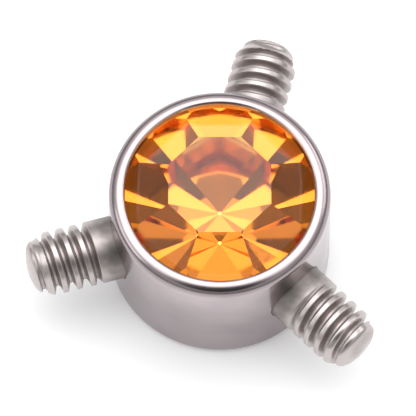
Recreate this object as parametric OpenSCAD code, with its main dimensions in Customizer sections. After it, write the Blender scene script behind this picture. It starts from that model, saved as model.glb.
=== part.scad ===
// A round gem disc for body jewellery: a steel setting with a faceted stone under its bezel lip,
// and three threaded posts that stand out of its wall.
// The origin is the middle of the flat base, and +Z points up through the stone.

/* [Setting] */
// Outside diameter of the round setting
disc_d = 5.5; // [5.4:0.1:6.1]
// Height from the flat base to the top of the lip
disc_h = 3.9; // [3.7:0.05:4.2]
// Rounding of the edge round the base
base_round = 0.25; // [0.1:0.05:0.4]
// Rounding of the outer edge of the lip
lip_round = 0.28; // [0.18:0.02:0.28]
// Rounding of the inner edge of the lip
lip_inner_round = 0.1; // [0.06:0.02:0.16]
// How far the lip reaches in over the edge of the stone
lip_overlap = 0.11; // [0.06:0.01:0.13]

/* [Stone] */
// Diameter of the stone at its girdle
stone_d = 4.92; // [4.86:0.02:4.92]
// Width of the table on top, from corner to corner
table_d = 2.75; // [2.6:0.05:2.95]
// Height of the table above the middle of the girdle
crown_h = 0.95; // [0.75:0.01:1.0]
// Slope of the crown's corner facets (degrees)
corner_slope = 46; // [44:1:49]
// Depth of the point below the middle of the girdle
pavilion_h = 2.07; // [1.95:0.01:2.2]
// Slope of the pavilion's break facets (degrees)
break_slope = 51; // [48:1:54]
// Height of the girdle, between the two rims that the facets are set out from
girdle_h = 0.07; // [0.04:0.01:0.1]
// Depth of the girdle below the top of the lip
stone_sink = 0.5; // [0.47:0.01:0.6]
// Turn of the stone in its setting
stone_turn = 15; // [0:1:44]

/* [Posts] */
// Outside diameter of the thread and of the collar
thread_d = 1.6; // [1.5:0.05:1.6]
// Distance from one thread crest to the next
thread_pitch = 0.35; // [0.3:0.01:0.4]
// Depth of the thread, from crest to root
thread_depth = 0.21; // [0.16:0.01:0.22]
// How far each post stands out of the wall
post_out = 2.2; // [2.0:0.05:2.4]
// Length of the plain collar between the wall and the thread
collar_l = 0.35; // [0.3:0.05:0.5]
// Length of the domed tip
dome_l = 0.1; // [0.1:0.05:0.25]
// Diameter of the shank inside its socket
shank_d = 1.2; // [1.1:0.05:1.25]
// Depth of the socket, from the wall to its floor
socket_depth = 0.65; // [0.5:0.05:0.7]

/* [Hidden] */

$fn = 96;

// Space between neighbouring pieces, and how far a cutting shape reaches past what it cuts
gap = 0.02;
overcut = 0.2;

steel = "silver";
post_steel = "darkgray";
amber = "orange";

disc_r = disc_d / 2;
stone_r = stone_d / 2;
table_r = table_d / 2;
culet_r = 0.05;
thread_r = thread_d / 2;
shank_r = shank_d / 2;

// The stone has eight main facets above its girdle and eight below, and its table is an octagon.
// The main facets below lie under the table's corners, half a step round from the ones above.
// Corner facets above and break facets below cut off the edges between the main ones.
main_facets = 8;
half_step = 180 / main_facets;
// How far out from the axis the middle of each kind of facet passes the height of its rim of the
// girdle. Where that is outside the stone, the facet ends before the rim.
crown_main_r = stone_r - 0.01;
crown_corner_r = stone_r + 0.04;
pavilion_main_r = stone_r - 0.16;
pavilion_break_r = stone_r - 0.04;
// Height of the upper rim over the middle of the girdle, and of the lower one under it
rim_z = girdle_h / 2;

// The seat is a straight groove for the girdle over a cone that clears the pavilion's edges
girdle_z = disc_h - stone_sink;
culet_z = girdle_z - pavilion_h;
lip_inner_r = stone_r - lip_overlap;
// The inner rounding is kept from running into the outer one
lip_edge_r = min(lip_inner_round, disc_r - lip_round - lip_inner_r);
seat_r = stone_r + gap;
groove_top = girdle_z + rim_z + crown_h * (1 - cos(half_step));
groove_low = girdle_z - girdle_h - pavilion_h * (1 - cos(half_step));
seat_floor_r = 0.25;
seat_floor_room = 0.1;
seat_floor_z = culet_z - seat_floor_room;

// The posts are evenly spaced, and their axes lie half way up the wall
post_angles = [90, 210, 330];
post_z = disc_h / 2;
collar_sink = 0.14;
thread_start = disc_r + collar_l;
thread_end = disc_r + post_out - dome_l;
root_r = thread_r - thread_depth;
crest_flat = thread_pitch / 8;
root_flat = thread_pitch / 4;
flank_l = (thread_pitch - crest_flat - root_flat) / 2;
// Whole turns that fit, with a little room so that an exact fit isn't lost to rounding
turn_room = 0.01;
thread_crests = floor((thread_end - thread_start) / thread_pitch + turn_room);

// Removes all that lies outside a ring of facets, which slope down and out from the axis.
// Each facet's middle line passes through the given radius and height.
module facet_ring(first_turn, slope, at_r, at_z) {
    block = 2 * stone_d;
    for (i = [0 : main_facets - 1])
        rotate([0, 0, first_turn + i * 360 / main_facets])
        translate([at_r, 0, at_z])
        rotate([0, slope, 0])
        translate([-block / 2, -block / 2, 0])
        cube(block);
}

// Removes all that lies outside a ring of main facets, which run from the edges of a flat of the
// given height and corner radius to where they pass the rim
module main_facet_ring(first_turn, height, flat_r, edge_r) {
    flat_edge_r = flat_r * cos(half_step);
    slope = atan((height - rim_z) / (edge_r - flat_edge_r));
    facet_ring(first_turn, slope, edge_r, rim_z);
}

// The stone: crown with its table above the girdle, and pointed pavilion below it
module stone() {
    color(amber)
    translate([0, 0, girdle_z])
    rotate([0, 0, stone_turn])
    difference() {
        translate([0, 0, -pavilion_h])
        cylinder(r = stone_r, h = pavilion_h + crown_h);
        main_facet_ring(0, crown_h, table_r, crown_main_r);
        facet_ring(half_step, corner_slope, crown_corner_r, rim_z);
        mirror([0, 0, 1]) {
            main_facet_ring(half_step, pavilion_h, culet_r, pavilion_main_r);
            facet_ring(0, break_slope, pavilion_break_r, rim_z);
        }
    }
}

// Half of the disc's outline: straight wall, rounded base edge and rounded lip
module disc_outline() {
    square([disc_r - base_round, disc_h - lip_round]);
    translate([0, base_round])
    square([disc_r, disc_h - lip_round - base_round]);
    square([disc_r - lip_round, disc_h]);
    translate([disc_r - base_round, base_round])
    circle(r = base_round);
    translate([disc_r - lip_round, disc_h - lip_round])
    circle(r = lip_round);
}

// Half of the hollow for the stone: the opening in the lip, the girdle's groove and the cone
module seat_outline() {
    lip_under = groove_top + seat_r - lip_inner_r;
    polygon([
        [0, seat_floor_z],
        [seat_floor_r, seat_floor_z],
        [seat_r, groove_low],
        [seat_r, groove_top],
        [lip_inner_r, lip_under],
        [lip_inner_r, disc_h + overcut],
        [0, disc_h + overcut]]);
}

// What the rounding of the lip's inner edge takes off
module lip_inner_edge() {
    round_z = disc_h - lip_edge_r;
    difference() {
        translate([lip_inner_r - overcut, round_z])
        square([lip_edge_r + overcut, lip_edge_r + overcut]);
        translate([lip_inner_r + lip_edge_r, round_z])
        circle(r = lip_edge_r);
    }
}

// Places a post or a socket on its side of the disc, pointing out along its own +Z
module at_post(angle) {
    rotate([0, 0, angle])
    translate([0, 0, post_z])
    rotate([0, 90, 0])
    children();
}

// A round socket for the shank, with a wider mouth that takes the foot of the collar
module socket() {
    translate([0, 0, disc_r - socket_depth])
    cylinder(r = shank_r + gap, h = socket_depth + overcut);
    translate([0, 0, disc_r - collar_sink - gap])
    cylinder(r = thread_r + gap, h = collar_sink + gap + overcut);
}

// The setting: one solid of steel
module setting() {
    color(steel)
    difference() {
        rotate_extrude()
        difference() {
            disc_outline();
            seat_outline();
            lip_inner_edge();
        }
        for (angle = post_angles) at_post(angle) socket();
    }
}

// One turn of the thread, in half outline: root, rising flank, flat crest and falling flank
function crest_outline(start) = [
    [root_r, start],
    [root_r, start + root_flat],
    [thread_r, start + root_flat + flank_l],
    [thread_r, start + root_flat + flank_l + crest_flat],
    [root_r, start + thread_pitch]];

// Half of a post's outline, from the end of its shank to the end of its thread
module post_outline() {
    shank_foot = disc_r - socket_depth + gap;
    collar_foot = disc_r - collar_sink;
    polygon(concat(
        [[0, shank_foot],
         [shank_r, shank_foot],
         [shank_r, collar_foot],
         [thread_r, collar_foot],
         [thread_r, thread_start]],
        [for (i = [0 : thread_crests - 1]) each crest_outline(thread_start + i * thread_pitch)],
        [[root_r, thread_end],
         [0, thread_end]]));
}

// Half of the tip's outline: a low dome as wide as the thread's root
module dome_outline() {
    dome_r = (root_r * root_r + dome_l * dome_l) / (2 * dome_l);
    translate([0, thread_end + dome_l - dome_r])
    intersection() {
        circle(r = dome_r);
        translate([0, dome_r - dome_l - overcut])
        square([root_r, dome_l + 2 * overcut]);
    }
}

// A threaded post: shank, collar, thread and domed tip in one piece of steel
module threaded_post() {
    color(post_steel)
    rotate_extrude() {
        post_outline();
        dome_outline();
    }
}

setting();
stone();
at_post(post_angles[0]) threaded_post();  // threaded_post_1
at_post(post_angles[1]) threaded_post();  // threaded_post_2
at_post(post_angles[2]) threaded_post();  // threaded_post_3
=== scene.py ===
"""The looks of a bezel-set gem disc with three threaded posts, in a small plain studio."""

import math

import bmesh
import bpy
from mathutils import Matrix, Vector


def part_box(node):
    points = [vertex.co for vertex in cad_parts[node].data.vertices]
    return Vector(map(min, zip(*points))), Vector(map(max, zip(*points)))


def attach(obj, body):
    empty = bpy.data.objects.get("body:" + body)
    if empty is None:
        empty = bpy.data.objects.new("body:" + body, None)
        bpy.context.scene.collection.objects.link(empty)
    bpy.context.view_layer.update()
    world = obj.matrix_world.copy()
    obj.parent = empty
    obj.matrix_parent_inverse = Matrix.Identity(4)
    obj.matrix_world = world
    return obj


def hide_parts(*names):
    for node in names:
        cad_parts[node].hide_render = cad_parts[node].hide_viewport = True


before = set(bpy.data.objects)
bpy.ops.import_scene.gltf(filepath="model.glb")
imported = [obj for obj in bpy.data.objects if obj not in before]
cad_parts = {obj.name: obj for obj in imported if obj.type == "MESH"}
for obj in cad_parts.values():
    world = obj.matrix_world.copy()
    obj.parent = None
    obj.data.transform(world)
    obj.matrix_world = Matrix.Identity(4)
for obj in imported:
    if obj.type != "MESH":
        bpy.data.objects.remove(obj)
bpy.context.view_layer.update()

MM = 0.001

# Sizes read from the frame. The first post points along +Y.
setting_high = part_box("setting")[1]
stone_low, stone_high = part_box("stone")
post_low, post_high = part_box("threaded_post_1")
DISC_R = setting_high.x
DISC_H = setting_high.z
TABLE_Z = stone_high.z
CULET_Z = stone_low.z
THREAD_R = post_high.x
POST_Z = (post_low.z + post_high.z) / 2
POST_FOOT = post_low.y
POST_TIP = post_high.y

# Space between the setting and what it holds
GAP = 0.02 * MM

# Stone, with eight main facets above its girdle and eight below
STONE_R = 2.46 * MM
GIRDLE_Z = 3.4 * MM
GIRDLE_H = 0.07 * MM
UPPER_RIM = GIRDLE_Z + GIRDLE_H / 2
LOWER_RIM = GIRDLE_Z - GIRDLE_H / 2
TABLE_R = 1.375 * MM
CULET_R = 0.05 * MM
CORNER_SLOPE = math.radians(46)
BREAK_SLOPE = math.radians(51)
STONE_TURN = math.radians(15)
MAIN_FACETS = 8
HALF_STEP = math.pi / MAIN_FACETS
GIRDLE_STEPS = 256

# How far out from the axis the middle of each kind of facet passes the height of its rim of the
# girdle. Where that is outside the stone, the facet ends before the rim.
CROWN_MAIN_R = STONE_R - 0.01 * MM
CROWN_CORNER_R = STONE_R + 0.04 * MM
PAVILION_MAIN_R = STONE_R - 0.16 * MM
PAVILION_BREAK_R = STONE_R - 0.04 * MM

# Neighbouring faces are joined where they differ by less than this angle
FLAT_ANGLE = math.radians(0.1)
# Points nearer than this to a facet's plane count as lying on it
CUT_TOLERANCE = 1e-9
# Faces whose normal points up less than this have the foil
FOIL_NORMAL_Z = 0.1

# Setting
BASE_ROUND = 0.25 * MM
LIP_ROUND = 0.28 * MM
LIP_INNER_R = 2.35 * MM
LIP_INNER_ROUND = 0.1 * MM
SEAT_R = STONE_R + GAP
SEAT_FLOOR_R = 0.25 * MM
SEAT_FLOOR_Z = CULET_Z - 0.1 * MM
SOCKET_OVERCUT = 0.3 * MM
# Vertices round the disc, steps of its rounded edges, and height of the rows of faces on its wall
DISC_STEPS = 256
BASE_STEPS = 10
LIP_STEPS = 16
LIP_INNER_STEPS = 12
WALL_ROW = 0.1 * MM
SETTING_SHARP_DEG = 30

# Posts: the way each one points, in degrees, and how far its thread is moved out along it, in pitches
POST_ANGLES = {"post_1": 90, "post_2": 210, "post_3": 330}
POST_TURNS = {"post_1": 0.12, "post_2": 0.12, "post_3": 0.55}
SHANK_R = 0.6 * MM
COLLAR_FOOT = DISC_R - 0.14 * MM
THREAD_START = DISC_R + 0.4 * MM
PITCH = 0.35 * MM
THREAD_DEPTH = 0.21 * MM
# The groove's sides, as shares of the way from the middle of a crest to the middle of a groove
GROOVE_EDGE = 0.3
GROOVE_FLOOR = 0.85
# The thread deepens over the first length, and the post narrows to its dome over the second
RUN_IN = 0.6 * PITCH
LEAD_L = 0.3 * MM
DOME_L = 0.26 * MM
DOME_START = POST_TIP - DOME_L
DOME_R = 0.66 * MM
# Vertices round a post, and rings of them along its collar, each pitch of its thread and its dome
POST_STEPS = 96
COLLAR_ROWS = 6
PITCH_ROWS = 28
DOME_ROWS = 22
POST_SHARP_DEG = 60
# How far out from the wall the painted shade at the wall starts to fade and is gone
COLLAR_SHADE_FADES = 0.1 * MM
COLLAR_SHADE_GONE = 0.9 * MM
# How dark the grooves are painted, as painted shade, where 1 is as dark as the painted shade at the
# wall
GROOVE_PAINTED_SHADE = 0.7

# Materials. The scale of a noise is in features to the millimetre.
# Most of the values of a noise lie between these two.
NOISE_LOW = 0.3
NOISE_HIGH = 0.7
STEEL_BLOTCHES = 0.9 / MM
STEEL_COLOURS = ((0.29, 0.245, 0.255), (0.355, 0.305, 0.315))
LATHE_RINGS = 14 / MM
RING_DRIFT = 0.02
SCRATCHES = 1.0 / MM
THREAD_BLOTCHES = 3.5 / MM
THREAD_GRAIN = 14 / MM
# The steel from crest over flank to groove; the darker flank and groove colours are painted shade
CREST_COLOUR = (0.49, 0.445, 0.435)
FLANK_COLOUR = (0.43, 0.385, 0.375)
GROOVE_COLOUR = (0.25, 0.225, 0.215)
CRYSTAL_HAZE = 1.3 / MM
CRYSTAL_COLOURS = ((1.0, 0.68, 0.24), (1.0, 0.71, 0.27))
CRYSTAL_IOR = 1.53
FOIL_GRAIN = 6 / MM
FOIL_COLOURS = ((0.94, 0.6, 0.31), (0.97, 0.63, 0.35))
PAPER_FIBRE = 0.4 / MM
PAPER_COLOURS = ((0.88, 0.88, 0.885), (0.9, 0.9, 0.905))
PAPER_GLOW = 0.24

# The setting's steel is painted brighter up its wall and over its lip, as a painted reflection and
# highlight; darker on the rolled outer edge of its lip, as a painted dark reflection; and a little
# darker round the lip's opening, as painted shade
PAINTED_WALL_SHINE = 1.5
SHINE_LOW_Z = DISC_H - 2.1 * MM
SHINE_HIGH_Z = DISC_H - LIP_ROUND
ROLLED_SHADE = 0.35
ROLLED_TOP_Z = DISC_H - 0.15 * MM
ROLLED_INNER_R = DISC_R - 0.2 * MM
ROLLED_OUTER_R = DISC_R - 0.14 * MM
INNER_SHADE = 0.9
INNER_SHADE_R = LIP_INNER_R + 0.06 * MM

# Camera, at the photograph's angle, with the width that it sees at the object. Its shifts, to its
# own right and up, frame the whole object.
VIEW_AZIMUTH = math.radians(15)
VIEW_ELEVATION = math.radians(67.5)
VIEW_DISTANCE = 230 * MM
VIEW_WIDTH = 10.45 * MM
VIEW_SHIFT_RIGHT = -0.29 * MM
VIEW_SHIFT_UP = 1.08 * MM
CLIP_NEAR = 10 * MM
CLIP_FAR = 5000 * MM
# Width of the camera's sensor, which Blender takes in millimetres
SENSOR_WIDTH = 36

# Studio: a floor, two like softboxes, and a room that is bright above and dark at the horizon
FLOOR_HALF_W = 600 * MM
LIGHT_AZIMUTHS = {"left_light": -70, "right_light": 140}
LIGHT_ELEVATION = 30
LIGHT_DISTANCE = 500 * MM
LIGHT_W = 320 * MM
LIGHT_H = 180 * MM
LIGHT_RADIANCE = 1.6
ROOM_STRENGTH = 4.05
# The room's grey at heights from 0, the horizon, to 1, straight above
ROOM_GREYS = {0.0: 0.06, 0.3: 0.15, 0.57: 0.22, 0.71: 0.22, 0.82: 0.55, 0.91: 0.7, 1.0: 1.0}
# The room is dark round the camera and below it. The share is what is left of its light there.
CAMERA_DARK = {"elevation_deg": 66, "radius_deg": 29, "edge_deg": 13, "share": 0.45}
LOWER_DARK = {"elevation_deg": 52, "radius_deg": 25, "edge_deg": 7, "share": 0.16}
# How often light may bounce: in all, off shiny steel, and through the stone
BOUNCES = 24
GLOSSY_BOUNCES = 16
CRYSTAL_BOUNCES = 16


def smoothstep(low, high, value):
    """0 below low, 1 above high and a smooth rise between them."""
    share = min(max((value - low) / (high - low), 0.0), 1.0)
    return share * share * (3 - 2 * share)


def arc(centre_r, centre_z, radius, first_deg, last_deg, steps):
    """Points along an arc of an outline, ends included."""
    points = []
    for i in range(steps + 1):
        angle = math.radians(first_deg + (last_deg - first_deg) * i / steps)
        points.append((centre_r + radius * math.cos(angle), centre_z + radius * math.sin(angle)))
    return points


def object_of(name, bm):
    """A new object from a bmesh, with its place in its mesh."""
    mesh = bpy.data.meshes.new(name)
    bm.to_mesh(mesh)
    bm.free()
    made = bpy.data.objects.new(name, mesh)
    bpy.context.scene.collection.objects.link(made)
    return made


def add_ring(bm, z, steps, radius_at):
    """A ring of vertices round the Z axis, whose radius follows the angle."""
    ring = []
    for i in range(steps):
        angle = 2 * math.pi * i / steps
        radius = radius_at(angle)
        ring.append(bm.verts.new((radius * math.cos(angle), radius * math.sin(angle), z)))
    return ring


def add_skin(bm, rings):
    """Faces from a first point, over rings of vertices, to a last point."""
    steps = len(rings[1])
    for lower, upper in zip(rings[:-1], rings[1:]):
        for i in range(steps):
            j = (i + 1) % steps
            if len(lower) == 1:
                bm.faces.new((lower[0], upper[j], upper[i]))
            elif len(upper) == 1:
                bm.faces.new((lower[i], lower[j], upper[0]))
            else:
                bm.faces.new((lower[i], lower[j], upper[j], upper[i]))


def revolved(name, outline, steps):
    """A closed solid round the Z axis from an outline that starts and ends on the axis."""
    bm = bmesh.new()
    rings = [[bm.verts.new((0, 0, outline[0][1]))]]
    for radius, z in outline[1:-1]:
        rings.append(add_ring(bm, z, steps, lambda angle, r=radius: r))
    rings.append([bm.verts.new((0, 0, outline[-1][1]))])
    add_skin(bm, rings)
    bmesh.ops.recalc_face_normals(bm, faces=bm.faces)
    return object_of(name, bm)


def smooth(piece, sharp_deg):
    """Shades a piece smooth, apart from edges sharper than the angle."""
    mesh = piece.data
    mesh.polygons.foreach_set("use_smooth", [True] * len(mesh.polygons))
    mesh.set_sharp_from_angle(angle=math.radians(sharp_deg))


def at_post(angle_deg):
    """The transform that takes a shape made along +Z to its side of the disc, pointing out."""
    turn = Matrix.Rotation(math.radians(angle_deg), 4, "Z")
    return turn @ Matrix.Translation((0, 0, POST_Z)) @ Matrix.Rotation(math.pi / 2, 4, "Y")


def finished(piece, material, node):
    """Gives a piece its material and its place in the frame."""
    piece.data.materials.append(material)
    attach(piece, "root")
    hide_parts(node)


class Nodes:
    """Short calls that add linked nodes to a material or a world."""

    def __init__(self, tree):
        self.tree = tree
        self.tree.nodes.clear()

    def new(self, kind):
        """A new shader node, such as Math."""
        return self.tree.nodes.new("ShaderNode" + kind)

    def link(self, output, target):
        """Takes an output of one node to an input of another."""
        self.tree.links.new(output, target)

    def math(self, operation, first, second=None):
        """The result of a calculation with sockets or numbers."""
        node = self.new("Math")
        node.operation = operation
        for socket, value in zip(node.inputs, (first, second)):
            if isinstance(value, bpy.types.NodeSocket):
                self.link(value, socket)
            elif value is not None:
                socket.default_value = value
        return node.outputs[0]

    def split(self, vector):
        """The three numbers of a vector."""
        node = self.new("SeparateXYZ")
        self.link(vector, node.inputs[0])
        return node.outputs

    def place(self, kind):
        """A vector of the texture coordinates of one kind."""
        return self.new("TexCoord").outputs[kind]

    def stretched(self, scale, turn):
        """The object's coordinates, scaled and then turned."""
        node = self.new("Mapping")
        node.inputs["Scale"].default_value = scale
        node.inputs["Rotation"].default_value = turn
        self.link(self.place("Object"), node.inputs["Vector"])
        return node.outputs["Vector"]

    def noise(self, vector, scale, detail, roughness=0.5):
        """A soft random number that changes from place to place."""
        node = self.new("TexNoise")
        node.inputs["Scale"].default_value = scale
        node.inputs["Detail"].default_value = detail
        node.inputs["Roughness"].default_value = roughness
        self.link(vector, node.inputs["Vector"])
        return node.outputs["Fac"]

    def spread(self, source, low, high, from_low=NOISE_LOW, from_high=NOISE_HIGH):
        """A value that goes from low to high as the source does, and stays level past its range."""
        node = self.new("MapRange")
        node.inputs["From Min"].default_value = from_low
        node.inputs["From Max"].default_value = from_high
        node.inputs["To Min"].default_value = low
        node.inputs["To Max"].default_value = high
        self.link(source, node.inputs["Value"])
        return node.outputs["Result"]

    def ramp(self, source, stops):
        """A colour that goes through stops, each with a value of the source and a colour."""
        node = self.new("ValToRGB")
        elements = node.color_ramp.elements
        while len(elements) < len(stops):
            elements.new(0.5)
        for element, (value, colour) in zip(elements, stops):
            element.position = value
            element.color = (*colour, 1)
        self.link(source, node.inputs["Fac"])
        return node.outputs["Color"]

    def mottled(self, noise, colours):
        """A colour that wanders between two with a noise."""
        return self.ramp(noise, [(NOISE_LOW, colours[0]), (NOISE_HIGH, colours[1])])

    def scaled(self, colour, factor):
        """A colour times a factor."""
        node = self.new("VectorMath")
        node.operation = "SCALE"
        self.link(colour, node.inputs["Vector"])
        self.link(factor, node.inputs["Scale"])
        return node.outputs["Vector"]

    def bump(self, height, strength, distance, below=None):
        """A normal that follows a height, over another normal where one is given."""
        node = self.new("Bump")
        node.inputs["Strength"].default_value = strength
        node.inputs["Distance"].default_value = distance
        self.link(height, node.inputs["Height"])
        if below is not None:
            self.link(below, node.inputs["Normal"])
        return node.outputs["Normal"]


def new_material(name):
    """A material, its nodes and its shader."""
    material = bpy.data.materials.new(name)
    material.use_nodes = True
    nodes = Nodes(material.node_tree)
    shader = nodes.new("BsdfPrincipled")
    out = nodes.new("OutputMaterial")
    nodes.link(shader.outputs["BSDF"], out.inputs["Surface"])
    return material, nodes, shader


def even_noise(nodes, scale, detail):
    """Noise that is the same size every way."""
    return nodes.noise(nodes.stretched((1, 1, 1), (0, 0, 0)), scale, detail)


def lathe_lines(nodes, radius, x, z):
    """Noise that is drawn out into rings round the disc's axis, and changes slowly across it."""
    join = nodes.new("CombineXYZ")
    nodes.link(radius, join.inputs[0])
    nodes.link(z, join.inputs[1])
    nodes.link(nodes.math("MULTIPLY", x, RING_DRIFT), join.inputs[2])
    return nodes.noise(join.outputs[0], LATHE_RINGS, detail=4.0, roughness=0.7)


def scratches(nodes, scale, turn, from_low, from_high):
    """The heights of fine scratches, which run along the axis with the smallest scale."""
    noise = nodes.noise(nodes.stretched(scale, turn), SCRATCHES, detail=2.0)
    return nodes.spread(noise, 0, 1, from_low, from_high)


def painted_steel_light(nodes, radius, z):
    """The painted light and shade on the setting's steel, by its place on the wall and the lip."""
    # Painted reflection and highlight: brighter up the wall and over the lip
    wall = nodes.spread(z, 1.0, PAINTED_WALL_SHINE, SHINE_LOW_Z, SHINE_HIGH_Z)
    # Painted dark reflection on the rolled outer edge of the lip
    rolled = nodes.math(
        "MULTIPLY",
        nodes.spread(z, 0.0, ROLLED_SHADE, SHINE_HIGH_Z, ROLLED_TOP_Z),
        nodes.spread(radius, 0.0, 1.0, ROLLED_INNER_R, ROLLED_OUTER_R))
    # Painted shade round the lip's opening
    inner = nodes.spread(radius, INNER_SHADE, 1.0, LIP_INNER_R, INNER_SHADE_R)
    outer = nodes.math("MULTIPLY", wall, nodes.math("SUBTRACT", 1.0, rolled))
    return nodes.math("MULTIPLY", outer, inner)


def polished_steel():
    """Turned and tumbled stainless steel with faint lathe rings, fine scratches, and painted light and
    shade by place.
    """
    material, nodes, shader = new_material("polished_steel")
    x, y, z = nodes.split(nodes.place("Object"))
    squares = nodes.math("ADD", nodes.math("MULTIPLY", x, x), nodes.math("MULTIPLY", y, y))
    radius = nodes.math("SQRT", squares)
    rings = lathe_lines(nodes, radius, x, z)
    blotch = even_noise(nodes, STEEL_BLOTCHES, detail=4.0)
    colour = nodes.mottled(blotch, STEEL_COLOURS)
    # The steel's colour times its painted light and shade
    nodes.link(nodes.scaled(colour, painted_steel_light(nodes, radius, z)), shader.inputs["Base Color"])
    shader.inputs["Metallic"].default_value = 1.0
    blotch_rough = nodes.spread(blotch, low=0.13, high=0.22)
    ring_rough = nodes.spread(rings, low=-0.04, high=0.05)
    nodes.link(nodes.math("ADD", blotch_rough, ring_rough), shader.inputs["Roughness"])
    along_y = scratches(nodes, scale=(40, 1.5, 9), turn=(0.4, 0.9, 0.5), from_low=0.62, from_high=0.72)
    along_x = scratches(nodes, scale=(1.5, 38, 12), turn=(1.1, 0.3, 1.9), from_low=0.63, from_high=0.73)
    normal = nodes.bump(blotch, strength=0.25, distance=0.01 * MM)
    normal = nodes.bump(rings, strength=0.35, distance=0.0015 * MM, below=normal)
    normal = nodes.bump(along_y, strength=0.3, distance=0.001 * MM, below=normal)
    normal = nodes.bump(along_x, strength=0.3, distance=0.001 * MM, below=normal)
    nodes.link(normal, shader.inputs["Normal"])
    return material


def thread_steel():
    """The posts' steel: bright on the crests, rougher and darker down in the grooves and at the wall,
    where the darkening is painted shade.
    """
    material, nodes, shader = new_material("thread_steel")
    # The groove attribute holds the painted shade in the grooves and at the wall
    groove = nodes.new("Attribute")
    groove.attribute_name = "groove"
    blotch = even_noise(nodes, THREAD_BLOTCHES, detail=5.0)
    uneven = nodes.spread(blotch, low=-0.12, high=0.12)
    painted_shade_and_dullness = nodes.math("ADD", groove.outputs["Fac"], uneven)
    colour = nodes.ramp(painted_shade_and_dullness, [(0.1, CREST_COLOUR), (0.7, FLANK_COLOUR), (1.0, GROOVE_COLOUR)])
    nodes.link(colour, shader.inputs["Base Color"])
    shader.inputs["Metallic"].default_value = 1.0
    rough = nodes.spread(painted_shade_and_dullness, low=0.28, high=0.46, from_low=0.0, from_high=1.0)
    nodes.link(rough, shader.inputs["Roughness"])
    grain = even_noise(nodes, THREAD_GRAIN, detail=3.0)
    normal = nodes.bump(grain, strength=0.3, distance=0.003 * MM)
    nodes.link(normal, shader.inputs["Normal"])
    return material


def amber_crystal():
    """Clear amber glass with a polish that is not quite even."""
    material, nodes, shader = new_material("amber_crystal")
    shader.inputs["Transmission Weight"].default_value = 1.0
    shader.inputs["IOR"].default_value = CRYSTAL_IOR
    haze = even_noise(nodes, CRYSTAL_HAZE, detail=4.0)
    nodes.link(nodes.mottled(haze, CRYSTAL_COLOURS), shader.inputs["Base Color"])
    nodes.link(nodes.spread(haze, low=0.0, high=0.02), shader.inputs["Roughness"])
    return material


def amber_foil():
    """The mirror foil under the pavilion, seen through the glass."""
    material, nodes, shader = new_material("amber_foil")
    grain = even_noise(nodes, FOIL_GRAIN, detail=3.0)
    nodes.link(nodes.mottled(grain, FOIL_COLOURS), shader.inputs["Base Color"])
    shader.inputs["Metallic"].default_value = 1.0
    nodes.link(nodes.spread(grain, low=0.03, high=0.08), shader.inputs["Roughness"])
    return material


def floor_paper():
    """Plain white paper on a table that is softly lit from below, which fills the shadows."""
    material, nodes, shader = new_material("floor_paper")
    colour = nodes.mottled(even_noise(nodes, PAPER_FIBRE, detail=4.0), PAPER_COLOURS)
    nodes.link(colour, shader.inputs["Base Color"])
    shader.inputs["Roughness"].default_value = 0.7
    nodes.link(colour, shader.inputs["Emission Color"])
    shader.inputs["Emission Strength"].default_value = PAPER_GLOW
    return material


def setting_outline():
    """The setting's outline, from the middle of its base round to the middle of its seat."""
    groove_low = GIRDLE_Z - GIRDLE_H - (GIRDLE_Z - CULET_Z) * (1 - math.cos(HALF_STEP))
    groove_top = UPPER_RIM + (TABLE_Z - GIRDLE_Z) * (1 - math.cos(HALF_STEP))
    wall_low = BASE_ROUND
    wall_high = DISC_H - LIP_ROUND
    rows = round((wall_high - wall_low) / WALL_ROW)
    wall = [(DISC_R, wall_low + (wall_high - wall_low) * i / rows) for i in range(1, rows)]
    edge_r = LIP_INNER_R + LIP_INNER_ROUND
    edge_z = DISC_H - LIP_INNER_ROUND
    return [
        (0, 0),
        *arc(DISC_R - BASE_ROUND, wall_low, BASE_ROUND, -90, 0, BASE_STEPS),
        *wall,
        *arc(DISC_R - LIP_ROUND, wall_high, LIP_ROUND, 0, 90, LIP_STEPS),
        *arc(edge_r, edge_z, LIP_INNER_ROUND, 90, 180, LIP_INNER_STEPS),
        (LIP_INNER_R, groove_top + SEAT_R - LIP_INNER_R),
        (SEAT_R, groove_top),
        (SEAT_R, groove_low),
        (SEAT_FLOOR_R, SEAT_FLOOR_Z),
        (0, SEAT_FLOOR_Z),
    ]


def socket_cutter(angle_deg):
    """The space that one socket takes out of the wall."""
    past_wall = DISC_R + SOCKET_OVERCUT
    outline = [
        (0, POST_FOOT - GAP),
        (SHANK_R + GAP, POST_FOOT - GAP),
        (SHANK_R + GAP, COLLAR_FOOT - GAP),
        (THREAD_R + GAP, COLLAR_FOOT - GAP),
        (THREAD_R + GAP, past_wall),
        (0, past_wall),
    ]
    cutter = revolved("cutter", outline, POST_STEPS)
    cutter.data.transform(at_post(angle_deg))
    return cutter


def setting():
    """The turned steel disc with its bezel lip, its seat and three sockets."""
    piece = revolved("setting_body", setting_outline(), DISC_STEPS)
    cutters = [socket_cutter(angle) for angle in POST_ANGLES.values()]
    for cutter in cutters:
        cut = piece.modifiers.new("socket", "BOOLEAN")
        cut.operation = "DIFFERENCE"
        cut.solver = "EXACT"
        cut.object = cutter
    evaluated = piece.evaluated_get(bpy.context.evaluated_depsgraph_get())
    mesh = bpy.data.meshes.new_from_object(evaluated)
    piece.modifiers.clear()
    piece.data = mesh
    for cutter in cutters:
        bpy.data.objects.remove(cutter)
    smooth(piece, SETTING_SHARP_DEG)
    finished(piece, polished_steel(), "setting")


def facet_planes(turn, slope, at_r, at_z, side):
    """Planes of a ring of facets whose middle lines pass a radius and height.

    The side is 1 for facets above the girdle and -1 for facets below it.
    """
    planes = []
    for i in range(MAIN_FACETS):
        angle = STONE_TURN + turn + 2 * math.pi * i / MAIN_FACETS
        out = Vector((math.cos(angle), math.sin(angle), 0))
        normal = out * math.sin(slope) + Vector((0, 0, side * math.cos(slope)))
        planes.append((out * at_r + Vector((0, 0, at_z)), normal))
    return planes


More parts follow.
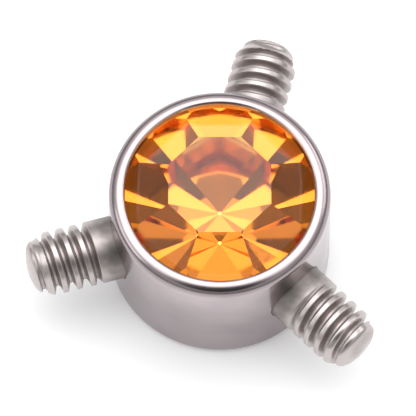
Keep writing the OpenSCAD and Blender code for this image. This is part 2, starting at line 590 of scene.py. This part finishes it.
def main_planes(turn, flat_z, flat_r, edge_r, rim_z, side):
    """Planes of the main facets, from the edges of a flat to where they pass the girdle's rim."""
    slope = math.atan(abs(flat_z - rim_z) / (edge_r - flat_r * math.cos(HALF_STEP)))
    return facet_planes(turn, slope, edge_r, rim_z, side)


def stone():
    """The faceted stone: clear crown, and a foil on the girdle and the pavilion."""
    outline = [(0, CULET_Z), (STONE_R, CULET_Z), (STONE_R, TABLE_Z), (0, TABLE_Z)]
    blank = revolved("blank", outline, GIRDLE_STEPS)
    bm = bmesh.new()
    bm.from_mesh(blank.data)
    bpy.data.objects.remove(blank)
    bmesh.ops.dissolve_limit(bm, angle_limit=FLAT_ANGLE, verts=bm.verts, edges=bm.edges)
    planes = main_planes(0, TABLE_Z, TABLE_R, CROWN_MAIN_R, UPPER_RIM, 1)
    planes += facet_planes(HALF_STEP, CORNER_SLOPE, CROWN_CORNER_R, UPPER_RIM, 1)
    planes += main_planes(HALF_STEP, CULET_Z, CULET_R, PAVILION_MAIN_R, LOWER_RIM, -1)
    planes += facet_planes(0, BREAK_SLOPE, PAVILION_BREAK_R, LOWER_RIM, -1)
    for point, normal in planes:
        whole = bm.verts[:] + bm.edges[:] + bm.faces[:]
        cut = bmesh.ops.bisect_plane(
            bm, geom=whole, plane_co=point, plane_no=normal, dist=CUT_TOLERANCE, clear_outer=True)
        rim = [item for item in cut["geom_cut"] if isinstance(item, bmesh.types.BMEdge)]
        bmesh.ops.edgeloop_fill(bm, edges=rim)
    bmesh.ops.recalc_face_normals(bm, faces=bm.faces)
    bm.normal_update()
    for face in bm.faces:
        face.material_index = 0 if face.normal.z > FOIL_NORMAL_Z else 1
    piece = object_of("amber_stone", bm)
    finished(piece, amber_crystal(), "stone")
    piece.data.materials.append(amber_foil())


def post_radius(along, turn, start_turn):
    """Radius of a post at a place along its axis, and its painted shade there, in the grooves and at
    the wall, from 0 to 1.
    """
    phase = ((along - THREAD_START) / PITCH - turn - start_turn) % 1
    from_crest = abs(phase - 0.5) * 2
    groove = smoothstep(GROOVE_EDGE, GROOVE_FLOOR, from_crest)
    groove *= smoothstep(0, RUN_IN, along - THREAD_START)
    radius = THREAD_R - THREAD_DEPTH * groove
    to_dome = DOME_START - along
    limit = DOME_R + (THREAD_R - DOME_R) * smoothstep(0, LEAD_L, to_dome)
    if to_dome < 0:
        limit *= math.sqrt(max(1 - (to_dome / DOME_L) ** 2, 0))
    # Painted shade on the collar next to the wall
    collar_painted_shade = 1 - smoothstep(DISC_R + COLLAR_SHADE_FADES, DISC_R + COLLAR_SHADE_GONE, along)
    return min(radius, limit), max(GROOVE_PAINTED_SHADE * groove, collar_painted_shade)


def post_rows():
    """Places along a post where it has a ring of vertices beyond its collar's foot."""
    rows = [COLLAR_FOOT + (THREAD_START - COLLAR_FOOT) * i / COLLAR_ROWS for i in range(COLLAR_ROWS)]
    thread_l = DOME_START - THREAD_START
    thread_rows = round(thread_l / PITCH * PITCH_ROWS)
    rows += [THREAD_START + thread_l * i / thread_rows for i in range(thread_rows)]
    rows += [DOME_START + DOME_L * math.sin(math.pi / 2 * i / DOME_ROWS) for i in range(DOME_ROWS)]
    return rows


def threaded_post(name, angle_deg, material):
    """One steel post: shank, collar, right-hand thread and domed tip."""
    bm = bmesh.new()
    painted_shade_layer = bm.verts.layers.float.new("groove")
    rings = [[bm.verts.new((0, 0, POST_FOOT))]]
    rings.append(add_ring(bm, POST_FOOT, POST_STEPS, lambda angle: SHANK_R))
    rings.append(add_ring(bm, COLLAR_FOOT, POST_STEPS, lambda angle: SHANK_R))
    start_turn = POST_TURNS[name]
    for along in post_rows():
        ring = add_ring(
            bm, along, POST_STEPS,
            lambda angle, at=along: post_radius(at, angle / (2 * math.pi), start_turn)[0])
        for i, vert in enumerate(ring):
            vert[painted_shade_layer] = post_radius(along, i / POST_STEPS, start_turn)[1]
        rings.append(ring)
    rings.append([bm.verts.new((0, 0, POST_TIP))])
    add_skin(bm, rings)
    bmesh.ops.recalc_face_normals(bm, faces=bm.faces)
    piece = object_of(name, bm)
    piece.data.transform(at_post(angle_deg))
    smooth(piece, POST_SHARP_DEG)
    finished(piece, material, "threaded_" + name)


def direction(azimuth, elevation):
    """Unit vector from the object towards a light or the camera. Azimuth 0 is the -Y side."""
    flat = math.cos(elevation)
    return Vector((math.sin(azimuth) * flat, -math.cos(azimuth) * flat, math.sin(elevation)))


def aimed(name, data, out, place):
    """A light or camera at a place, which looks against the outward direction."""
    piece = bpy.data.objects.new(name, data)
    piece.location = place
    piece.rotation_mode = "QUATERNION"
    piece.rotation_quaternion = out.to_track_quat("Z", "Y")
    bpy.context.scene.collection.objects.link(piece)
    return piece


def floor():
    """The white floor that the object lies on."""
    bm = bmesh.new()
    bmesh.ops.create_grid(bm, x_segments=1, y_segments=1, size=FLOOR_HALF_W)
    piece = object_of("floor", bm)
    piece.data.materials.append(floor_paper())


def dark_place(nodes, ray, elevation_deg, radius_deg, edge_deg, share):
    """A number that is the share round one direction, 1 away from it and in between at the edge."""
    dot = nodes.new("VectorMath")
    dot.operation = "DOT_PRODUCT"
    nodes.link(ray, dot.inputs[0])
    dot.inputs[1].default_value = direction(VIEW_AZIMUTH, math.radians(elevation_deg))
    outer = math.cos(math.radians(radius_deg + edge_deg))
    inner = math.cos(math.radians(radius_deg - edge_deg))
    return nodes.spread(dot.outputs["Value"], 1.0, share, outer, inner)


def room():
    """Room light: bright above, dark towards the horizon, and dark round the camera and below it."""
    world = bpy.data.worlds.new("room")
    bpy.context.scene.world = world
    world.use_nodes = True
    nodes = Nodes(world.node_tree)
    ray = nodes.place("Generated")
    height = nodes.split(ray)[2]
    greys = nodes.ramp(height, [(at, (grey, grey, grey)) for at, grey in ROOM_GREYS.items()])
    camera_dark = dark_place(nodes, ray, **CAMERA_DARK)
    lower_dark = dark_place(nodes, ray, **LOWER_DARK)
    both = nodes.math("MULTIPLY", camera_dark, lower_dark)
    strength = nodes.math("MULTIPLY", both, ROOM_STRENGTH)
    background = nodes.new("Background")
    nodes.link(greys, background.inputs["Color"])
    nodes.link(strength, background.inputs["Strength"])
    out = nodes.new("OutputWorld")
    nodes.link(background.outputs[0], out.inputs["Surface"])


def camera():
    """The camera, which stands far off and sees the object almost without perspective."""
    lens = bpy.data.cameras.new("camera")
    lens.sensor_width = SENSOR_WIDTH
    lens.lens = SENSOR_WIDTH * VIEW_DISTANCE / VIEW_WIDTH
    lens.clip_start = CLIP_NEAR
    lens.clip_end = CLIP_FAR
    back = direction(VIEW_AZIMUTH, VIEW_ELEVATION)
    turn = back.to_track_quat("Z", "Y")
    right = turn @ Vector((1, 0, 0))
    up = turn @ Vector((0, 1, 0))
    place = back * VIEW_DISTANCE + right * VIEW_SHIFT_RIGHT + up * VIEW_SHIFT_UP
    bpy.context.scene.camera = aimed("camera", lens, back, place)


def softbox(name, azimuth_deg):
    """A flat light of even brightness, which faces the object."""
    light = bpy.data.lights.new(name, "AREA")
    light.shape = "RECTANGLE"
    light.size = LIGHT_W
    light.size_y = LIGHT_H
    light.energy = LIGHT_RADIANCE * math.pi * LIGHT_W * LIGHT_H
    out = direction(math.radians(azimuth_deg), math.radians(LIGHT_ELEVATION))
    aimed(name, light, out, out * LIGHT_DISTANCE)


def light_paths():
    """Plain display of the colours, and enough bounces for the inside of the stone."""
    scene = bpy.context.scene
    scene.view_settings.view_transform = "Standard"
    scene.cycles.max_bounces = BOUNCES
    scene.cycles.glossy_bounces = GLOSSY_BOUNCES
    scene.cycles.transmission_bounces = CRYSTAL_BOUNCES
    scene.cycles.caustics_reflective = True
    scene.cycles.caustics_refractive = True


# The object
post_steel = thread_steel()
setting()
stone()
for post_name, post_angle in POST_ANGLES.items():
    threaded_post(post_name, post_angle, post_steel)

# The studio
floor()
room()
camera()
for light_name, light_azimuth in LIGHT_AZIMUTHS.items():
    softbox(light_name, light_azimuth)
light_paths()
